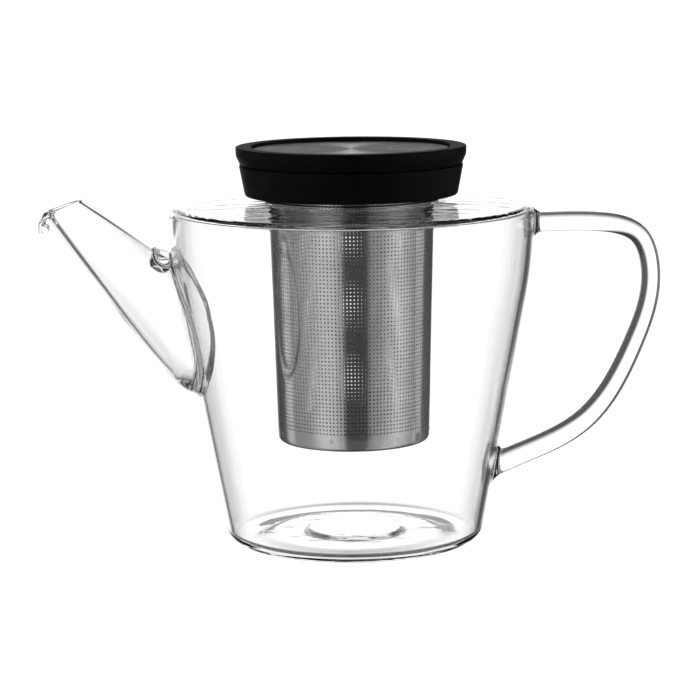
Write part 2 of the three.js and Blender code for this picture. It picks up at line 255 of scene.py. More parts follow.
def lip_field(x, y, z):
    """The pouring lip: a sheet that rolls out and down from the mouth and ends in a bead."""
    x = x - 0.045 * y**2
    dx, dz = x - LIP_CENTRE[0], z - LIP_CENTRE[1]
    angle = np.arctan2(dz, dx)
    angle = np.where(angle < -math.pi / 2, angle + 2 * math.pi, angle)
    nearest = np.clip(angle, LIP_FROM, LIP_TO)
    share = (nearest - LIP_FROM) / (LIP_TO - LIP_FROM)
    sheet = np.hypot(dx - LIP_R * np.cos(nearest), dz - LIP_R * np.sin(nearest)) - LIP_SHEET / 2
    bead_reach = LIP_R + LIP_SHEET / 2 - BEAD_R
    bead_x = LIP_CENTRE[0] + bead_reach * math.cos(LIP_TO)
    bead_z = LIP_CENTRE[1] + bead_reach * math.sin(LIP_TO)
    bead = np.hypot(x - bead_x, z - bead_z) - BEAD_R
    section = round_min(sheet, bead, 0.6)
    return round_max(section, np.abs(y) - (LIP_WIDTH - 1.8 * share), 0.7)


def crotch_field(x, y, z):
    """Roughly the distance from the fused lump, an ellipsoid."""
    a, b, c = CROTCH_HALF
    k = np.sqrt(((x - CROTCH[0]) / a) ** 2 + (y / b) ** 2 + ((z - CROTCH[1]) / c) ** 2)
    return (k - 1) * 4.0


DRAIN_R = 4.0
DRAIN_FROM, DRAIN_TO = 64.0, 90.0


def drain_field(y, z):
    """The slot through the wall behind the spout, where the tea runs out."""
    return np.hypot(y, z - np.clip(z, DRAIN_FROM, DRAIN_TO)) - DRAIN_R


HANDLE_KNOTS = (
    (62, 115.4),
    (90, 115.3),
    (103.3, 110.9),
    (107.9, 100),
    (101.9, 70.4),
    (84.3, 42.7),
    (50, 25.4),
)
ROD_R = 3.55
ROD_THICKENING = 0.5  # radius gained in the lower half


def smooth_curves(knots):
    """Cubic curves that run through the knots without a change of bend at any of them."""
    places = np.array(knots, float)
    gaps = np.linalg.norm(np.diff(places, axis=0), axis=1)
    last = len(places) - 1
    system = np.eye(last + 1)
    given = np.zeros((last + 1, 2))
    given[0] = (places[1] - places[0]) / gaps[0]
    given[last] = (places[last] - places[last - 1]) / gaps[-1]
    for i in range(1, last):
        before, after = gaps[i - 1], gaps[i]
        system[i, i - 1 : i + 2] = (1 / before, 2 / before + 2 / after, 1 / after)
        steps = (places[i] - places[i - 1]) / before**2 + (places[i + 1] - places[i]) / after**2
        given[i] = 3 * steps
    slopes = np.linalg.solve(system, given)
    return [
        (
            places[i],
            places[i] + slopes[i] * gaps[i] / 3,
            places[i + 1] - slopes[i + 1] * gaps[i] / 3,
            places[i + 1],
        )
        for i in range(last)
    ]


def handle_field(x, y, z):
    """Distance to the bent rod, a little thicker in its lower half."""
    best = np.full(x.shape, 1e9)
    curves = smooth_curves(HANDLE_KNOTS)
    for index, curve in enumerate(curves):
        place, _, t = nearest_on_curve(curve, x, z)
        away = np.sqrt((x - place[..., 0]) ** 2 + (z - place[..., 1]) ** 2 + y**2)
        along = (index + t) / len(curves)
        rod = ROD_R + ROD_THICKENING * smoothstep((along - 0.5) / 0.4)
        best = np.minimum(best, away - rod)
    return best


# Radii of the fillets where glass is melted to glass, and of its melted edges
SPOUT_MELT = 1.4
LIP_MELT = 1.0
LUMP_MELT = 1.5
HANDLE_MELT = 3.2
MOUTH_EDGE = 0.5
BORE_EDGE = 1.6
DRAIN_EDGE = 0.7
INNER_EDGE = 0.6


def glass_field(x, y, z):
    """Negative in the glass, positive in the air. The spout and the handle are slow to work
    out, so each is left out away from its own side of the pot."""
    r = np.hypot(x, y)
    body = body_outside(r, z)
    outside = body.copy()
    air = body_cavity(r, z)
    near_spout = (x < -38) & (np.abs(y) < 42) & (z > 38)
    if near_spout.any():
        px, py, pz = x[near_spout], y[near_spout], z[near_spout]
        wall = body[near_spout]
        tube, bore = spout_fields(px, py, pz)
        tube = round_max(tube, spout_mouth_plane(px, pz), MOUTH_EDGE)
        tube = round_min(tube, lip_field(px, py, pz), LIP_MELT)
        lump = crotch_field(px, py, pz)
        outside[near_spout] = round_min(round_min(wall, tube, SPOUT_MELT), lump, LUMP_MELT)
        bore = round_max(bore, -wall, BORE_EDGE)
        bore = round_max(bore, -lump, LUMP_MELT)
        holes = np.maximum(drain_field(py, pz), np.abs(wall + WALL / 2) - WALL)
        open_air = np.minimum(air[near_spout], bore)
        air[near_spout] = round_min(open_air, holes, DRAIN_EDGE)
    near_handle = (x > 48) & (np.abs(y) < 11)
    if near_handle.any():
        rod = handle_field(x[near_handle], y[near_handle], z[near_handle])
        outside[near_handle] = round_min(outside[near_handle], rod, HANDLE_MELT)
    hole = np.where(z > 60, HOLE_R - r, -50.0)
    glass = round_max(outside, -air, INNER_EDGE)
    return round_max(glass, hole, POLISH_R)


def lines(*stretches):
    """Grid lines over touching stretches, each given as start, end and spacing."""
    values = [stretches[0][0]]
    for start, end, spacing in stretches:
        count = max(1, round((end - start) / spacing))
        values.extend(np.linspace(start, end, count + 1)[1:])
    return np.array(values)


def vessel_grid():
    """Angles, radii and heights of a turned grid, finest at the joints, edges and mouth."""
    side = lines((5.6, 148, 3.1), (148, 162, 0.8), (162, 180, 0.42))
    half = np.concatenate([lines((0, 5.6, 0.56)), side[1:]])
    angles = np.concatenate([half, 360 - half[-2:0:-1]])
    radii = lines((0, 28, 1.4), (28, 34, 0.5), (34, 58, 1.6), (58, 68, 0.7), (68, 116, 0.75))
    heights = lines((-1.0, 6.4, 0.6), (6.4, 50, 2.0), (50, 109, 0.85), (109, 128, 0.5))
    return np.radians(angles), radii, heights


def surface_net(values, points):
    """Quads around a field's zero level on a turned grid whose first axis is periodic."""
    inside = values < 0
    shape = values.shape
    cells = (shape[0], shape[1] - 1, shape[2] - 1)
    total = np.zeros((int(np.prod(cells)), 3))
    count = np.zeros(int(np.prod(cells)))
    quads = []
    for axis in range(3):
        ahead = np.roll(inside, -1, axis=axis)
        crossing = inside != ahead
        if axis > 0:
            last = [slice(None)] * 3
            last[axis] = -1
            crossing[tuple(last)] = False
        index = np.argwhere(crossing)
        after = index.copy()
        after[:, axis] += 1
        after[:, 0] %= shape[0]
        a = values[tuple(index.T)]
        b = values[tuple(after.T)]
        share = (a / (a - b))[:, None]
        place = points[tuple(index.T)] * (1 - share) + points[tuple(after.T)] * share
        first, second = [other for other in range(3) if other != axis]
        around = []
        for step_1, step_2 in ((0, 0), (-1, 0), (-1, -1), (0, -1)):
            cell = index.copy()
            cell[:, first] += step_1
            cell[:, second] += step_2
            cell[:, 0] %= shape[0]
            valid = ((cell >= 0) & (cell < np.array(cells))).all(axis=1)
            kept = np.clip(cell, 0, np.array(cells) - 1)
            flat = np.where(valid, np.ravel_multi_index(kept.T, cells), -1)
            np.add.at(total, flat[valid], place[valid])
            np.add.at(count, flat[valid], 1)
            around.append(flat)
        quad = np.stack(around, axis=1)
        whole = (quad >= 0).all(axis=1)
        flip = inside[tuple(index.T)] == (axis == 1)
        quad[flip] = quad[flip][:, ::-1]
        quads.append(quad[whole])
    used = np.nonzero(count)[0]
    number = np.full(len(count), -1)
    number[used] = np.arange(len(used))
    vertices = total[used] / count[used][:, None]
    return vertices, number[np.concatenate(quads)], number.reshape(cells)


def axis_caps(vertices, number):
    """Closes the small holes that a turned grid leaves on its axis, with a fan each."""
    fans = []
    extra = []
    for level in range(number.shape[2]):
        ring = number[:, 0, level]
        if (ring < 0).any():
            continue
        centre = len(vertices) + len(extra)
        extra.append(vertices[ring].mean(axis=0))
        fans.append([(ring[i], ring[(i + 1) % len(ring)], centre) for i in range(len(ring))])
    return np.array(extra), fans


def field_gradient(points, step=0.02):
    here = glass_field(*points.T)
    gradient = np.zeros_like(points)
    for axis in range(3):
        shift = np.zeros(3)
        shift[axis] = step
        gradient[:, axis] = (glass_field(*(points + shift).T) - here) / step
    return here, gradient


def pull_to_surface(points, rounds):
    """Moves points onto the glass surface, along the field's slope."""
    for _ in range(rounds):
        value, gradient = field_gradient(points)
        size = np.maximum((gradient**2).sum(axis=1), 0.2)
        step = gradient * (value / size)[:, None]
        length = np.linalg.norm(step, axis=1)
        step *= np.minimum(1, 0.5 / np.maximum(length, 1e-9))[:, None]
        points = points - step
    return points


def relaxed(points, faces, rounds):
    """Evens out the spacing of a mesh's vertices while keeping them on the surface."""
    pairs = np.concatenate([faces[:, [i, (i + 1) % 4]] for i in range(4)])
    pairs = np.concatenate([pairs, pairs[:, ::-1]])
    count = np.bincount(pairs[:, 0], minlength=len(points))[:, None]
    for _ in range(rounds):
        total = np.stack(
            [np.bincount(pairs[:, 0], points[pairs[:, 1], k], len(points)) for k in range(3)], axis=1
        )
        middle = total / np.maximum(count, 1)
        points = np.where(count > 0, points + 0.4 * (middle - points), points)
        points = pull_to_surface(points, 1)
    return points


VESSEL_TRIANGLES = 190000


def thinned(vertices, faces, triangles):
    """A mesh with its flattest parts merged until few enough triangles are left."""
    mesh = bpy.data.meshes.new("draft")
    mesh.from_pydata(vertices.tolist(), [], faces)
    draft = bpy.data.objects.new("draft", mesh)
    bpy.context.scene.collection.objects.link(draft)
    thin = draft.modifiers.new("thin", "DECIMATE")
    thin.ratio = min(1.0, triangles / sum(len(face) - 2 for face in faces))
    bpy.context.view_layer.update()
    result = draft.evaluated_get(bpy.context.evaluated_depsgraph_get()).data
    places = np.empty(len(result.vertices) * 3)
    result.vertices.foreach_get("co", places)
    corners = [tuple(face.vertices) for face in result.polygons]
    bpy.data.objects.remove(draft)
    bpy.data.meshes.remove(mesh)
    return places.reshape(-1, 3), corners


def glass_vessel():
    """Body, spout and handle as one melted skin, found from the glass field."""
    angles, radii, heights = vessel_grid()
    angle, r, z = np.meshgrid(angles, radii, heights, indexing="ij")
    points = np.stack([r * np.cos(angle), r * np.sin(angle), z], axis=-1)
    values = glass_field(points[..., 0], points[..., 1], points[..., 2])
    vertices, quads, number = surface_net(values, points)
    extra, fans = axis_caps(vertices, number)
    vertices = relaxed(pull_to_surface(vertices, 2), quads, 2)
    vertices = np.concatenate([vertices, extra])
    faces = [tuple(q) for q in quads.tolist()]
    for fan in fans:
        faces.extend(tuple(int(v) for v in triangle) for triangle in fan)
    vertices, faces = thinned(vertices, faces, VESSEL_TRIANGLES)
    vertices = pull_to_surface(vertices, 2)
    piece = mesh_piece("glass_vessel", vertices, faces, clear_glass())
    face_outward(piece)
    _, normals = field_gradient(vertices)
    normals /= np.maximum(np.linalg.norm(normals, axis=1), 1e-9)[:, None]
    piece.data.normals_split_custom_set_from_vertices(normals.tolist())
    return piece


# ------------------------------------------------------------------ mesh building


def mesh_piece(name, vertices, faces, look, sharp=None):
    """A mesh object from millimetre vertices. sharp is the angle over which edges stay crisp."""
    mesh = bpy.data.meshes.new(name)
    mesh.from_pydata((np.asarray(vertices, float) * MM).tolist(), [], faces)
    mesh.validate()
    mesh.shade_smooth()
    if sharp is not None:
        mesh.set_sharp_from_angle(angle=math.radians(sharp))
    mesh.materials.append(look)
    piece = bpy.data.objects.new(name, mesh)
    bpy.context.scene.collection.objects.link(piece)
    return piece


def face_outward(piece, merge=None):
    """Turns the faces of a closed piece outward. Vertices within merge metres become one."""
    work = bmesh.new()
    work.from_mesh(piece.data)
    if merge is not None:
        bmesh.ops.remove_doubles(work, verts=work.verts, dist=merge)
    bmesh.ops.recalc_face_normals(work, faces=work.faces)
    work.to_mesh(piece.data)
    work.free()


def arc(centre_r, centre_z, radius, start, end, steps):
    """Points (r, z) on an arc, with angles in degrees."""
    turn = np.radians(np.linspace(start, end, steps + 1))
    return [(centre_r + radius * math.cos(a), centre_z + radius * math.sin(a)) for a in turn]


def rounded(corners, steps=5):
    """A closed profile from (r, z, radius) corners, each rounded to its radius."""
    points = []
    for i, (r, z, radius) in enumerate(corners):
        here = Vector((r, z))
        before = Vector(corners[i - 1][:2]) - here
        after = Vector(corners[(i + 1) % len(corners)][:2]) - here
        if radius == 0:
            points.append((r, z))
            continue
        half = before.angle(after) / 2
        reach = min(radius / math.tan(half), before.length * 0.49, after.length * 0.49)
        start, end = here + before.normalized() * reach, here + after.normalized() * reach
        for step in range(steps + 1):
            t = step / steps
            blend = start * (1 - t) ** 2 + here * (2 * t * (1 - t)) + end * t**2
            points.append((blend.x, blend.y))
    return points


def turned(name, profile, look, sides=160, sharp=35):
    """A profile of (r, z) points turned about the axis. It closes on itself."""
    count = len(profile)
    turn = np.linspace(0, 2 * math.pi, sides, endpoint=False)
    vertices = [(r * math.cos(a), r * math.sin(a), z) for a in turn for r, z in profile]
    faces = []
    for i in range(sides):
        here, there = i * count, (i + 1) % sides * count
        for j in range(count):
            k = (j + 1) % count
            faces.append((here + j, there + j, there + k, here + k))
    piece = mesh_piece(name, vertices, faces, look, sharp)
    face_outward(piece, merge=1e-6)
    return piece


# ------------------------------------------------------------------ infuser basket

SHEET = 0.4
CURL_R = 1.6
HOLE_COLUMNS = 134
HOLE_ROWS = 60
HOLE_SHARE = 0.41  # side of a hole over the pitch
NECK_Z = 120.0
NECK_R = 28.9
BASKET_R = 27.5
BASKET_TOP_R = 29.7
WELD_COUNT = 7
WELD_FIRST = math.radians(-107)
WELD_RISE = 3.7  # above the bottom of the basket
# Radius and height above the wall, from the middle of a weld's dish over its ring to its foot
WELD_PROFILE = ((0.0, 0.03), (0.22, 0.04), (0.38, 0.12), (0.52, 0.10), (0.62, -0.05))
HOLES_FROM = wall_low.z + 5.8  # above a plain band
HOLES_TO = collar_low.z - 0.4


def basket_radius(z):
    """Outer radius of the basket wall: a slight taper, then a step in to the neck."""
    share = (z - wall_low.z) / (NECK_Z - wall_low.z)
    taper = BASKET_R + (BASKET_TOP_R - BASKET_R) * share
    return taper + (NECK_R - taper) * smoothstep((z - NECK_Z) / 1.2)


def basket_wall():
    """The sheet: two skins with a square hole in every cell of a grid, and hole walls."""
    columns, rows = HOLE_COLUMNS, HOLE_ROWS
    vertices, faces = [], []
    turn = 2 * math.pi / columns
    pitch = (HOLES_TO - HOLES_FROM) / rows

    def place(skin, column, z):
        r = float(basket_radius(np.array(z))) - skin * SHEET
        return (r * math.sin(column * turn), -r * math.cos(column * turn), z)

    skins = []
    for skin in (0, 1):
        grid = np.zeros((columns, rows + 1), int)
        holes = np.zeros((columns, rows, 4), int)
        margin = (1 - HOLE_SHARE) / 2
        for column in range(columns):
            for row in range(rows + 1):
                grid[column, row] = len(vertices)
                vertices.append(place(skin, column, HOLES_FROM + row * pitch))
            for row in range(rows):
                low = HOLES_FROM + (row + margin) * pitch
                high = HOLES_FROM + (row + 1 - margin) * pitch
                left, right = column + margin, column + 1 - margin
                corners = ((left, low), (right, low), (right, high), (left, high))
                for k, (u, z) in enumerate(corners):
                    holes[column, row, k] = len(vertices)
                    vertices.append(place(skin, u, z))
        skins.append((grid, holes))
        for column in range(columns):
            left, right = grid[column], grid[(column + 1) % columns]
            for row in range(rows):
                outer = (left[row], right[row], right[row + 1], left[row + 1])
                inner = holes[column, row]
                for k in range(4):
                    n = (k + 1) % 4
                    face = (outer[k], outer[n], inner[n], inner[k])
                    faces.append(face if skin == 0 else face[::-1])
    for column in range(columns):
        for row in range(rows):
            front, back = skins[0][1][column, row], skins[1][1][column, row]
            for k in range(4):
                n = (k + 1) % 4
                faces.append((front[k], front[n], back[n], back[k]))

    def plain_band(start, end, path):
        """Faces from one row of wall vertices to another, along a path of (r, z) points."""
        rings = [start]
        for r, z in path:
            first = len(vertices)
            for column in range(columns):
                a = column * turn
                vertices.append((r * math.sin(a), -r * math.cos(a), z))
            rings.append(np.arange(first, first + columns))
        rings.append(end)
        for one, two in zip(rings, rings[1:]):
            for column in range(columns):
                beside = (column + 1) % columns
                faces.append((one[column], two[column], two[beside], one[beside]))

    bottom = wall_low.z
    curl = arc(BASKET_R - CURL_R, bottom + CURL_R, CURL_R, 0, -90, 4)
    back = arc(BASKET_R - CURL_R, bottom + CURL_R, CURL_R - SHEET, -90, 0, 4)
    plain_band(skins[0][0][:, 0], skins[1][0][:, 0], curl + back)
    top = wall_high.z
    flange = wall_high.x - 0.1
    over = [(NECK_R, top - SHEET), (flange, top - SHEET), (flange, top), (NECK_R - SHEET, top)]
    plain_band(skins[1][0][:, rows], skins[0][0][:, rows], over[::-1])
    whole = [tuple(int(v) for v in face) for face in faces]
    return mesh_piece("basket_wall", vertices, whole, satin_steel(), 30)


FLOOR_BEND = 1.4  # radius of the bend up to the floor's rim
FLOOR_PITCH = 1.4
FLOOR_HOLE_R = 0.3
FLOOR_MARGIN = 2.2  # plain band around the floor's holes
HOLE_SIDES = 8


def basket_floor():
    """A pressed dish with an upturned rim and round holes in a square grid."""
    low, high = base_low.z, base_high.z
    radius = base_high.x - 0.05
    flat_r = radius - FLOOR_BEND
    hole_field_r = flat_r - FLOOR_MARGIN
    pitch = FLOOR_PITCH
    sides = 96
    outline = [
        Vector((flat_r * math.cos(a), flat_r * math.sin(a)))
        for a in np.linspace(0, 2 * math.pi, sides, endpoint=False)
    ]
    points = list(outline)
    loops = [list(range(sides))]
    reach = int(hole_field_r / pitch)
    for i in range(-reach, reach + 1):
        for j in range(-reach, reach + 1):
            centre = Vector((i * pitch, j * pitch))
            if centre.length > hole_field_r:
                continue
            loops.append(list(range(len(points), len(points) + HOLE_SIDES)))
            for a in np.linspace(0, 2 * math.pi, HOLE_SIDES, endpoint=False)[::-1]:
                points.append(centre + Vector((math.cos(a), math.sin(a))) * FLOOR_HOLE_R)
    found = delaunay_2d_cdt(points, [], loops, 2, 1e-5)
    flat, triangles = found[0], found[2]
    cut = bmesh.new()
    rows = [cut.verts.new((p.x * MM, p.y * MM, low * MM)) for p in flat]
    for triangle in triangles:
        centre = sum((flat[i] for i in triangle), Vector((0, 0))) / len(triangle)
        nearest = Vector((round(centre.x / pitch) * pitch, round(centre.y / pitch) * pitch))
        over_hole = (centre - nearest).length < FLOOR_HOLE_R * 0.9
        if not (over_hole and nearest.length <= hole_field_r):
            cut.faces.new([rows[i] for i in triangle])
    border = sorted(
        (v for v in cut.verts if abs(v.co.xy.length - flat_r * MM) < 1e-6),
        key=lambda v: math.atan2(v.co.y, v.co.x),
    )
    bend = arc(flat_r, low + FLOOR_BEND, FLOOR_BEND, -90, 0, 5)
    profile = bend[1:] + [(radius, high)]
    ring = border
    for r, z in profile:
        above = []
        for v in ring:
            a = math.atan2(v.co.y, v.co.x)
            above.append(cut.verts.new((r * MM * math.cos(a), r * MM * math.sin(a), z * MM)))
        for k in range(len(ring)):
            n = (k + 1) % len(ring)
            cut.faces.new((ring[k], ring[n], above[n], above[k]))
        ring = above
    bmesh.ops.recalc_face_normals(cut, faces=cut.faces)
    mesh = bpy.data.meshes.new("basket_floor")
    cut.to_mesh(mesh)
    cut.free()
    mesh.shade_smooth()
    mesh.materials.append(satin_steel())
    piece = bpy.data.objects.new("basket_floor", mesh)
    bpy.context.scene.collection.objects.link(piece)
    thick = piece.modifiers.new("sheet", "SOLIDIFY")
    thick.thickness = SHEET * MM
    thick.offset = -1
    return piece


def weld_marks():
    """Small dished spots where the floor is welded to the wall."""
    vertices, faces = [], []
    z = wall_low.z + WELD_RISE
    wall_r = float(basket_radius(np.array(z)))
    profile = WELD_PROFILE
    sides = 14
    for weld in range(WELD_COUNT):
        angle = WELD_FIRST + 2 * math.pi * weld / WELD_COUNT
        out = Vector((math.cos(angle), math.sin(angle), 0))
        across = Vector((-math.sin(angle), math.cos(angle), 0))
        up = Vector((0, 0, 1))
        first = len(vertices)
        vertices.append(out * (wall_r + profile[0][1]) + up * z)
        for r, rise in profile[1:]:
            for k in range(sides):
                a = 2 * math.pi * k / sides
                level = up * (z + r * math.sin(a))
                vertices.append(out * (wall_r + rise) + across * (r * math.cos(a)) + level)
        vertices.append(out * (wall_r - 0.2) + up * z)
        last = len(vertices) - 1
        for k in range(sides):
            n = (k + 1) % sides
            faces.append((first, first + 1 + k, first + 1 + n))
            for ring in range(len(profile) - 2):
                a, b = first + 1 + ring * sides, first + 1 + (ring + 1) * sides
                faces.append((a + k, b + k, b + n, a + n))
            outer = first + 1 + (len(profile) - 2) * sides
            faces.append((outer + k, last, outer + n))
    return mesh_piece("weld_marks", vertices, faces, satin_steel(), 60)


SEAT_SHARE = 0.6  # thickness of the seat ring over that of its CAD solid
SEAT_INSET = 0.8


def seat_ring():
    """The steel ring that rests on the edge of the glass hole, round at its outer edge."""
    thickness = SEAT_SHARE * (rim_high.z - rim_low.z)
    middle = rim_low.z + thickness / 2
    outer = rim_high.x - SEAT_INSET - thickness / 2
    profile = arc(outer, middle, thickness / 2, -90, 90, 8)
    inner = NECK_R + 0.05
    profile += [(inner, rim_low.z + thickness), (inner, rim_low.z)]
    return turned("seat_ring", profile, satin_steel())


# ------------------------------------------------------------------ collar and lid


COLLAR_FOOT_R = 38.35
COLLAR_BORE_R = 33.0
COLLAR_FIT = 0.08  # clearance of the collar around the basket's neck
LEDGE_DROP = 0.62  # the ledge that carries the basket's flange, below the basket's top


def infuser_collar():
    """The finger grip, with a ledge inside that carries the basket's flange."""
    neck = NECK_R + COLLAR_FIT
    ledge = wall_high.z - LEDGE_DROP
    profile = rounded(
        [
            (neck, collar_low.z, 0.3),
            (COLLAR_FOOT_R, collar_low.z, 1.3),
            (collar_high.x, collar_high.z, 0.55),
            (COLLAR_BORE_R, collar_high.z, 0.5),
            (COLLAR_BORE_R, ledge, 0.0),
            (neck, ledge, 0.0),
        ]
    )
    return turned("infuser_collar_silicone", profile, black_silicone())


SEAM_INSET = 1.6  # the lid draws in by this much at its seam with the collar
RIM_BAND = 3.2  # height of the nearly upright band at the top of the lid's side
DISC_FIT = 0.08  # clearance around the disc
RIM_FLOOR_DROP = 2.9  # from the underside of the disc to the ring's inner floor
CORE_BORE_R = seal_high.x - 0.75


def lid_ring():
    """The lid's outer ring: it draws in to the seam, and is let in for the disc."""
    low, high, r = ring_low.z, ring_high.z, ring_high.x
    bed = disc_high.x + DISC_FIT
    floor = disc_low.z - RIM_FLOOR_DROP
    profile = rounded(
        [
            (CORE_BORE_R, low, 0.3),
            (r - SEAM_INSET, low, 0.35),
            (r - 0.15, high - RIM_BAND, 1.8),
            (r, high, 0.6),
            (bed + 0.1, high, 0.7),
            (bed, floor, 0.0),
            (CORE_BORE_R, floor, 0.0),
        ]
    )
    return turned("lid_rim", profile, black_silicone())


AXIS_R = 0.001  # profiles that reach the axis start this close to it


def lid_disc():
    """A flat plate with a small bevel. Its top has many rings, to carry the turned grain."""
    low, high, r = disc_low.z, disc_high.z, disc_high.x
    steps = [r * share for share in np.linspace(0.0, 1.0, 40)[1:-1]]
    bevel = [(r, high - 0.25), (r - 0.1, high - 0.07), (r - 0.25, high)]
    profile = [(AXIS_R, low), (r, low)] + bevel
    profile += [(step, high) for step in reversed(steps)] + [(AXIS_R, high)]
    return turned("lid_disc_steel", profile, turned_steel(), sides=192, sharp=50)


PLUG_R = seal_high.x - 0.95
PLUG_WALL = 1.8
PLUG_TOP = 1.4  # thickness of the plug's closed top
FLANGE_THICKNESS = 1.75
GROOVE_DEPTH = 0.85


def lid_core():
    """The hollow plug under the disc, with a groove around it for the seal."""
    flange, plug = core_high.x, PLUG_R
    low, high = core_low.z, core_high.z
    skirt = plug - PLUG_WALL
    groove = plug - GROOVE_DEPTH
    groove_low, groove_high = seal_low.z - 0.1, seal_high.z + 0.1
    profile = rounded(
        [
            (AXIS_R, high - PLUG_TOP, 0.0),
            (skirt, high - PLUG_TOP, 0.8),
            (skirt, low, 0.4),
            (plug, low, 0.6),
            (plug, groove_low, 0.15),
            (groove, groove_low, 0.0),
            (groove, groove_high, 0.0),
            (plug, groove_high, 0.15),
            (plug, high - FLANGE_THICKNESS, 0.0),
            (flange, high - FLANGE_THICKNESS, 0.3),
            (flange, high, 0.3),
            (AXIS_R, high, 0.0),
        ],
        steps=3,
    )
    return turned("lid_plug", profile, black_plastic(), sides=128)


def lid_seal():
    """The soft ring in the plug's groove."""
    radius = (seal_high.z - seal_low.z) / 2
    centre = seal_high.x - radius
    profile = arc(centre, (seal_low.z + seal_high.z) / 2, radius, 0, 345, 23)
    return turned("lid_gasket", profile, seal_rubber(), sides=128, sharp=None)


# ------------------------------------------------------------------ node tools


def new_node(tree, kind, inputs=None, **settings):
    """A shader node of a kind, with values for some of its settings and inputs."""
    node = tree.nodes.new("ShaderNode" + kind)
    for name, value in settings.items():
        setattr(node, name, value)
    for name, value in (inputs or {}).items():
        node.inputs[name].default_value = value
    return node


def new_material(name, inputs):
    """A material, its node tree, and its shader with values for some of the inputs."""
    material = bpy.data.materials.new(name)
    material.use_nodes = True
    shader = material.node_tree.nodes["Principled BSDF"]
    for socket, value in inputs.items():
        shader.inputs[socket].default_value = value
    return material, material.node_tree, shader


def maths(tree, operation, first, second=None, third=None):
    node = new_node(tree, "Math", operation=operation)
    for socket, value in zip(node.inputs, (first, second, third)):
        if value is None:
            continue
        if isinstance(value, (int, float)):
            socket.default_value = value
        else:
            tree.links.new(value, socket)
    return node.outputs[0]


def either(tree, choice, first, second):
    """The first value where the choice is 0, the second where it is 1."""
    mix = new_node(tree, "Mix")
    tree.links.new(choice, mix.inputs["Factor"])
    tree.links.new(first, mix.inputs["A"])
    tree.links.new(second, mix.inputs["B"])
    return mix.outputs["Result"]


def colour_ramp(tree, value, stops):
    """A colour that runs straight from stop to stop, each stop being (position, colour)."""
    node = new_node(tree, "ValToRGB")
    points = node.color_ramp.elements
    while len(points) < len(stops):
        points.new(0.5)
    for point, (position, colour) in zip(points, stops):
        point.position = position
        point.color = (*colour, 1)
    tree.links.new(value, node.inputs["Fac"])
    return node.outputs["Color"]


def stretched_noise(tree, scale, stretch, detail):
    """Noise over object space, in millimetres, stretched along one or more axes."""
    place = new_node(tree, "TexCoord")
    mapping = new_node(tree, "Mapping", {"Scale": [scale / MM / s for s in stretch]})
    noise = new_node(tree, "TexNoise", {"Scale": 1.0, "Detail": detail})
    tree.links.new(place.outputs["Object"], mapping.inputs["Vector"])
    tree.links.new(mapping.outputs["Vector"], noise.inputs["Vector"])
    return noise.outputs["Fac"]


def ranged(tree, value, low, high, start=0.3, end=0.7):
    """A value between start and end, where most noise lies, spread from low to high."""
    reach = {"From Min": start, "From Max": end, "To Min": low, "To Max": high}
    spread = new_node(tree, "MapRange", reach)
    tree.links.new(value, spread.inputs["Value"])
    return spread.outputs["Result"]


def faded(tree, value, full, none):
    """1 where the value is at full, falling straight to 0 at none, both in millimetres."""
    return ranged(tree, value, 0, 1, none * MM, full * MM)


def bumped(tree, value, depth):
    bump = new_node(tree, "Bump", {"Distance": depth * MM, "Strength": 1.0})
    tree.links.new(value, bump.inputs["Height"])
    return bump.outputs["Normal"]


# ------------------------------------------------------------------ materials

WAVE_DEPTH = 0.05  # faint waves in the blown wall
STREAK_DEPTH = 0.4  # uneven glass on the shoulder
FLOOR_STREAKS = 0.5  # share of that on the floor


def hand_worked(tree):
    """Share of streaks: all on the shoulder, half on the floor, and none on the walls."""
    place = new_node(tree, "TexCoord")
    split = new_node(tree, "SeparateXYZ")
    tree.links.new(place.outputs["Object"], split.inputs["Vector"])
    across = maths(tree, "POWER", split.outputs["X"], 2)
    along = maths(tree, "POWER", split.outputs["Y"], 2)
    radius = maths(tree, "SQRT", maths(tree, "ADD", across, along))
    height = split.outputs["Z"]
    low = faded(tree, height, FLOOR_Z + 2, FLOOR_Z + 4)
    high = faded(tree, height, SHOULDER_Z - 1, SHOULDER_Z - 3)
    floor_reach = faded(tree, radius, STAND_INNER_R - 4.5, STAND_INNER_R + 1.5)
    shoulder_reach = faded(tree, radius, CORNER_R - 9, CORNER_R - 2)
    floor = maths(tree, "MULTIPLY", low, floor_reach)
    shoulder = maths(tree, "MULTIPLY", high, shoulder_reach)
    return maths(tree, "MULTIPLY_ADD", floor, FLOOR_STREAKS, shoulder)


def clear_glass():
    """Borosilicate glass: faint waves in the walls, streaks where it was worked by hand."""
    glass = {"Base Color": (1, 1, 1, 1), "Roughness": 0.0, "IOR": 1.47, "Transmission Weight": 1.0}
    material, tree, shader = new_material("clear_glass", glass)
    waves = stretched_noise(tree, 1 / 14, (1, 1, 3), detail=1.0)
    streaks = stretched_noise(tree, 1 / 6, (2.6, 1, 1), detail=1.5)
    deep = maths(tree, "MULTIPLY", streaks, STREAK_DEPTH / WAVE_DEPTH)
    height = either(tree, hand_worked(tree), waves, deep)
    tree.links.new(bumped(tree, height, WAVE_DEPTH), shader.inputs["Normal"])
    tint = new_node(tree, "VolumeAbsorption", {"Color": (0.80, 0.86, 0.85, 1), "Density": 2.0})
    tree.links.new(tint.outputs["Volume"], tree.nodes["Material Output"].inputs["Volume"])
    return material


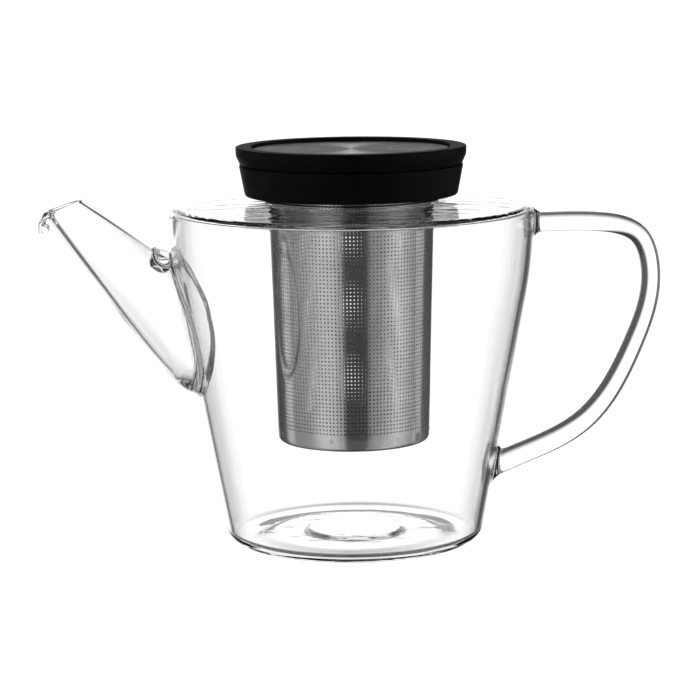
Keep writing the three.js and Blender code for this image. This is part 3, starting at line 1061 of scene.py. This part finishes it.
@functools.cache
def satin_steel():
    """Stainless sheet with a fine upright grain."""
    metal = {"Metallic": 1.0, "Specular Tint": (0.25, 0.25, 0.25, 1)}
    material, tree, shader = new_material("satin_steel_sheet", metal)
    grain = stretched_noise(tree, 3.0, (1, 1, 60), detail=4.0)
    blotch = stretched_noise(tree, 1 / 9, (1, 1, 2), detail=2.0)
    tree.links.new(ranged(tree, grain, 0.09, 0.16), shader.inputs["Roughness"])
    greys = ((0.35, (0.50, 0.50, 0.505)), (0.65, (0.60, 0.60, 0.60)))
    tree.links.new(colour_ramp(tree, blotch, greys), shader.inputs["Base Color"])
    tree.links.new(bumped(tree, blotch, 0.03), shader.inputs["Normal"])
    return material


def turned_steel():
    """Steel plate with a circular brushed grain, which spreads light across it."""
    metal = {"Metallic": 1.0, "Anisotropic": 0.96, "Specular Tint": (0.34, 0.35, 0.36, 1)}
    material, tree, shader = new_material("turned_steel", metal)
    tangent = new_node(tree, "Tangent", direction_type="RADIAL", axis="Z")
    tree.links.new(tangent.outputs["Tangent"], shader.inputs["Tangent"])
    place = new_node(tree, "TexCoord")
    flat = new_node(tree, "VectorMath", {1: (1, 1, 0)}, operation="MULTIPLY")
    radius = new_node(tree, "VectorMath", operation="LENGTH")
    rings = new_node(tree, "TexNoise", {"Scale": 4.0 / MM, "Detail": 3.0}, noise_dimensions="1D")
    tree.links.new(place.outputs["Object"], flat.inputs[0])
    tree.links.new(flat.outputs["Vector"], radius.inputs[0])
    tree.links.new(radius.outputs["Value"], rings.inputs["W"])
    tree.links.new(ranged(tree, rings.outputs["Fac"], 0.22, 0.36), shader.inputs["Roughness"])
    greys = ((0, (0.42, 0.43, 0.45)), (1, (0.58, 0.59, 0.61)))
    tree.links.new(colour_ramp(tree, rings.outputs["Fac"], greys), shader.inputs["Base Color"])
    return material


@functools.cache
def dark_polymer(name, colour_low, colour_high, roughness, grain, depth):
    """A moulded black polymer with a fine surface grain and slight colour variation."""
    material, tree, shader = new_material(name, {"IOR": 1.2, "Specular IOR Level": 0.3})
    fine = stretched_noise(tree, grain, (1, 1, 1), detail=4.0)
    broad = stretched_noise(tree, 1 / 8, (1, 1, 1), detail=2.0)
    blacks = ((0, colour_low), (1, colour_high))
    tree.links.new(colour_ramp(tree, broad, blacks), shader.inputs["Base Color"])
    tree.links.new(ranged(tree, fine, *roughness), shader.inputs["Roughness"])
    tree.links.new(bumped(tree, broad, depth), shader.inputs["Normal"])
    return material


def black_silicone():
    return dark_polymer("matte_silicone", (0.001,) * 3, (0.003, 0.003, 0.0032), (0.45, 0.6), 4.0, 0.01)


def black_plastic():
    return dark_polymer("moulded_plastic", (0.008,) * 3, (0.014, 0.014, 0.015), (0.35, 0.5), 2.5, 0.015)


def seal_rubber():
    return dark_polymer("seal_rubber", (0.03,) * 3, (0.05, 0.05, 0.052), (0.4, 0.55), 5.0, 0.006)


# ------------------------------------------------------------------ studio


def ramp(tree, value, stops):
    """A level that runs straight from stop to stop, each stop being (degrees, level)."""
    spread = maths(tree, "MULTIPLY_ADD", value, 1 / 360, 0.5)
    greys = [(degrees / 360 + 0.5, (level, level, level)) for degrees, level in stops]
    return colour_ramp(tree, spread, greys)


# Light levels against the bearing from the view and the lift above it, both in degrees
BACKDROP = (
    (-78, 0), (-72, 0.5), (-60, 0.5), (-54, 0), (-27, 0), (-23, 1),
    (12, 1), (20, 0), (54, 0), (59, 0.6), (72, 0.6), (78, 0),
)
PANELS = (
    (-168, 0), (-165, 0.45), (-150, 0.85), (-132, 0.85), (-104, 0.36),
    (-60, 0.24), (-50, 0), (70, 0), (80, 0.45), (107, 0.95),
    (124, 0.75), (135, 0.5), (154, 0.32), (158, 0),
)
BACKDROP_FOOT = ((-55, 0.2), (-18, 1))
BACKDROP_TOP = ((60, 1), (66, 0))
# Reflections see a lower edge that is nearer, and blurred ones, as off brushed steel,
# also a nearer upper edge. These are studio tricks, not a physical set.
MIRRORED_FOOT = ((-30, 0), (-11, 1))
BLURRED_TOP = ((16, 1), (32, 0))
PANEL_HEIGHT = ((-75, 0), (-50, 1), (45, 1), (65, 0))
OVERHEAD = ((64, 0), (70, 0.8))
BACKDROP_LIGHT = 1.18
FLAG_LIGHT = 0.045


def studio_brightness(tree, direction):
    """A studio that faces the camera: a white backdrop behind the pot, dark flags at its
    sides, and soft panels beside the camera. direction is where a ray goes, in world space."""
    to_camera = new_node(
        tree, "VectorTransform", vector_type="VECTOR", convert_from="WORLD", convert_to="CAMERA"
    )
    tree.links.new(direction, to_camera.inputs["Vector"])
    split = new_node(tree, "SeparateXYZ")
    tree.links.new(to_camera.outputs["Vector"], split.inputs["Vector"])
    right, up, ahead = split.outputs[0], split.outputs[1], split.outputs[2]
    bearing = maths(tree, "ARCTAN2", right, ahead)
    bearing = maths(tree, "MULTIPLY", bearing, 180 / math.pi)
    lift = maths(tree, "ARCSINE", up)
    lift = maths(tree, "MULTIPLY", lift, 180 / math.pi)
    path = new_node(tree, "LightPath").outputs
    mirrored = path["Is Glossy Ray"]
    not_sharp = maths(tree, "SUBTRACT", 1, path["Is Singular Ray"])
    blurred = maths(tree, "MULTIPLY", mirrored, not_sharp)
    foot_seen = ramp(tree, lift, BACKDROP_FOOT)
    foot_mirrored = ramp(tree, lift, MIRRORED_FOOT)
    foot = either(tree, mirrored, foot_seen, foot_mirrored)
    head_seen = ramp(tree, lift, BACKDROP_TOP)
    head_blurred = ramp(tree, lift, BLURRED_TOP)
    head = either(tree, blurred, head_seen, head_blurred)
    across = ramp(tree, bearing, BACKDROP)
    backdrop = maths(tree, "MULTIPLY", across, maths(tree, "MULTIPLY", foot, head))
    panels_across = ramp(tree, bearing, PANELS)
    panels_up = ramp(tree, lift, PANEL_HEIGHT)
    panels = maths(tree, "MULTIPLY", panels_across, panels_up)
    overhead = ramp(tree, lift, OVERHEAD)
    level = maths(tree, "MULTIPLY_ADD", backdrop, BACKDROP_LIGHT, FLAG_LIGHT)
    return maths(tree, "ADD", maths(tree, "ADD", level, panels), overhead)


def light_world():
    world = bpy.data.worlds.new("studio")
    bpy.context.scene.world = world
    world.use_nodes = True
    tree = world.node_tree
    place = new_node(tree, "TexCoord")
    level = studio_brightness(tree, place.outputs["Generated"])
    background = tree.nodes["Background"].inputs
    background["Color"].default_value = (1, 1, 1, 1)
    tree.links.new(level, background["Strength"])


def pale_floor():
    """A wide pale floor that carries the studio's light on below the pot."""
    reach = 20000
    level = -0.05
    corners = [(x * reach, y * reach, level) for x, y in ((-1, -1), (1, -1), (1, 1), (-1, 1))]
    paint = {"Base Color": (0.9, 0.9, 0.9, 1), "Roughness": 0.9}
    material, tree, shader = new_material("pale_floor", paint)
    geometry = new_node(tree, "NewGeometry")
    onward = new_node(tree, "VectorMath", {"Scale": -1}, operation="SCALE")
    tree.links.new(geometry.outputs["Incoming"], onward.inputs[0])
    brightness = studio_brightness(tree, onward.outputs["Vector"])
    glow = new_node(tree, "Emission")
    tree.links.new(brightness, glow.inputs["Strength"])
    mix = new_node(tree, "MixShader", {"Fac": 0.9})
    tree.links.new(shader.outputs["BSDF"], mix.inputs[1])
    tree.links.new(glow.outputs["Emission"], mix.inputs[2])
    tree.links.new(mix.outputs["Shader"], tree.nodes["Material Output"].inputs["Surface"])
    material.cycles.emission_sampling = "NONE"
    floor = mesh_piece("floor", corners, [(0, 1, 2, 3)], material)


FOCAL_LENGTH = 131.1
SENSOR_WIDTH = 36
CAMERA_PLACE = (-1.1, -916.9, 218.6)
CAMERA_PITCH = math.radians(9.25)
CAMERA_ROLL = math.radians(0.62)


def place_camera():
    data = bpy.data.cameras.new("camera")
    data.lens = FOCAL_LENGTH
    data.sensor_width = SENSOR_WIDTH
    data.clip_start = 0.01
    data.clip_end = 100
    camera = bpy.data.objects.new("camera", data)
    bpy.context.scene.collection.objects.link(camera)
    tilt = Matrix.Rotation(math.pi / 2 - CAMERA_PITCH, 4, "X")
    roll = Matrix.Rotation(-CAMERA_ROLL, 4, "Z")
    camera.matrix_world = Matrix.Translation(Vector(CAMERA_PLACE) * MM) @ tilt @ roll
    bpy.context.scene.camera = camera


def set_up_render():
    scene = bpy.context.scene
    scene.view_settings.view_transform = "Standard"
    scene.render.film_transparent = False
    scene.cycles.max_bounces = 32
    scene.cycles.transmission_bounces = 32
    scene.cycles.glossy_bounces = 12
    scene.cycles.use_denoising = True
    scene.cycles.caustics_refractive = True
    scene.cycles.caustics_reflective = True
    scene.cycles.blur_glossy = 0.0


# ------------------------------------------------------------------ assembly


def stand_in(piece, body, slot, *nodes):
    """Puts a piece on its body, in place of the CAD nodes it stands for."""
    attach(piece, body)
    if nodes:
        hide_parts(*nodes)


stand_in(glass_vessel(), "vessel", "clear_glass", "glass_body", "spout", "handle")
stand_in(basket_wall(), "infuser", "satin_steel", "infuser_wall")
stand_in(basket_floor(), "infuser", "satin_steel", "infuser_base")
stand_in(weld_marks(), "infuser", "satin_steel")
stand_in(seat_ring(), "infuser", "satin_steel", "infuser_rim")
stand_in(infuser_collar(), "infuser", "black_silicone", "infuser_collar")
stand_in(lid_ring(), "lid", "black_silicone", "lid_ring")
stand_in(lid_disc(), "lid", "brushed_disc", "lid_disc")
stand_in(lid_core(), "lid", "black_plastic", "lid_core")
stand_in(lid_seal(), "lid", "seal_silicone", "lid_seal")

light_world()
pale_floor()
place_camera()
set_up_render()

bpy.context.view_layer.update()
